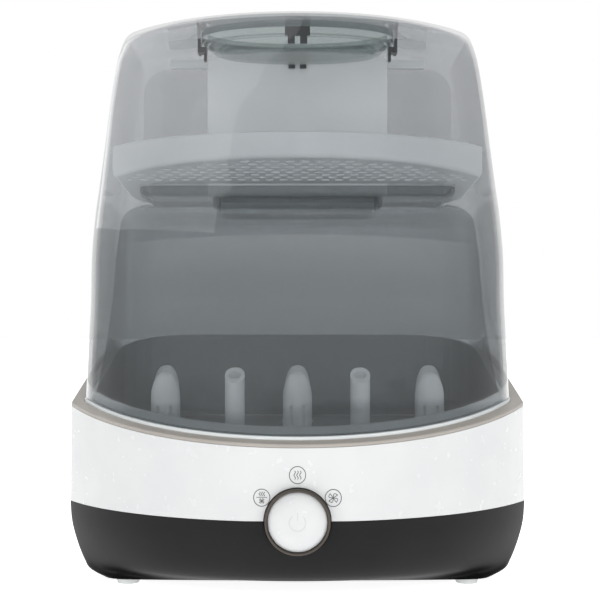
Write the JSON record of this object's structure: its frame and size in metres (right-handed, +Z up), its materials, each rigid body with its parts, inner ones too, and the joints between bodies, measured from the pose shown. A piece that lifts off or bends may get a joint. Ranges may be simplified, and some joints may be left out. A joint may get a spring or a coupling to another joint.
{
  "type": "bottle sterilizer",
  "caption": "Countertop baby bottle steam sterilizer and dryer: bowed two-tone base with front dial, smoke-clear lift-off lid, accessory tray, bottle rack and rear filter drawer.",
  "frame": {"origin": "centre of the footprint, on the surface that the feet stand on", "axes": "+Z up; the dial faces -Y; +X is to the right of someone who faces the dial"},
  "size_m": [0.3054, 0.279, 0.3754],
  "materials": {
    "white_abs": "gloss moulded",
    "black_abs": "satin moulded",
    "warm_grey_abs": "satin moulded",
    "smoke_clear": "polished transparent",
    "dark_smoke": "polished transparent",
    "pale_pp": "fine moulded texture",
    "dark_pp": "fine moulded texture",
    "bronze_plate": "satin metallic",
    "steel": "brushed",
    "rubber": "soft moulded",
    "board": "solder-masked board",
    "filter_felt": "pressed fibre"
  },
  "bodies": {
    "base": {"lower_shell": "black_abs", "upper_shell": "white_abs", "trim_ring": "warm_grey_abs", "base_well": "dark_pp", "heating_plate": "steel", "heating_element": "steel", "thermostat": "steel", "fan_housing": "dark_pp", "fan_motor": "steel", "air_duct": "dark_pp", "air_outlet_grille": "steel", "drawer_rail_left": "dark_pp", "drawer_rail_right": "dark_pp", "power_inlet": "black_abs", "control_board": "board", "rotary_encoder": "steel", "bottom_cover": "black_abs", "cover_screw_1": "steel", "cover_screw_2": "steel", "cover_screw_3": "steel", "cover_screw_4": "steel", "foot_1": "rubber", "foot_2": "rubber", "foot_3": "rubber", "foot_4": "rubber"},
    "lid": {"lid_shell": "smoke_clear", "grip_bezel": "smoke_clear", "grip_bowl": "smoke_clear", "grip_clip_front": "black_abs", "grip_clip_rear": "black_abs", "grip_clip_left": "black_abs", "grip_clip_right": "black_abs"},
    "tray": {"accessory_tray": "pale_pp", "divider_plate": "pale_pp", "divider_wing_left": "smoke_clear", "divider_wing_right": "smoke_clear", "wing_rail_left": "pale_pp", "wing_rail_right": "pale_pp"},
    "rack": {"bottle_rack": "dark_pp", "rack_screen": "dark_smoke", "bottle_peg_1": "pale_pp", "bottle_peg_2": "pale_pp", "bottle_peg_3": "pale_pp", "bottle_peg_4": "pale_pp", "bottle_peg_5": "pale_pp", "bottle_peg_6": "pale_pp", "air_post_left": "pale_pp", "air_post_right": "pale_pp"},
    "dial": {"dial_ring": "bronze_plate", "dial_shaft": "steel"},
    "button": {"power_button": "white_abs", "button_spring": "steel"},
    "fan_rotor": {"fan_impeller": "dark_pp"},
    "drawer": {"filter_drawer": "white_abs", "air_filter": "filter_felt"}
  },
  "joints": [
    {"name": "lid_lift", "type": "slide", "parent": "base", "child": "lid", "axis": [0, 0, 1], "range_m": [0, 0.5]},
    {"name": "tray_lift", "type": "slide", "parent": "base", "child": "tray", "axis": [0, 0, 1], "range_m": [0, 0.2]},
    {"name": "rack_lift", "type": "slide", "parent": "base", "child": "rack", "axis": [0, 0, 1], "range_m": [0, 0.09]},
    {"name": "dial_turn", "type": "hinge", "parent": "base", "child": "dial", "pos_m": [0, -0.13, 0.051], "axis": [0, -1, 0], "range_deg": [-45, 45]},
    {"name": "power_press", "type": "slide", "parent": "dial", "child": "button", "axis": [0, 1, 0], "range_m": [0, 0.0015], "stiffness_N_per_m": 400, "deforming": ["button_spring"]},
    {"name": "fan_spin", "type": "hinge", "parent": "base", "child": "fan_rotor", "pos_m": [0.04, 0.062, 0.0375], "axis": [0, 0, 1], "continuous": true},
    {"name": "filter_slide", "type": "slide", "parent": "base", "child": "drawer", "axis": [0, 1, 0], "range_m": [0, 0.08]}
  ],
  "couplings": [
    {"joint": "tray_lift", "follows": "lid_lift", "ratio": 0.4},
    {"joint": "rack_lift", "follows": "lid_lift", "ratio": 0.18}
  ]
}
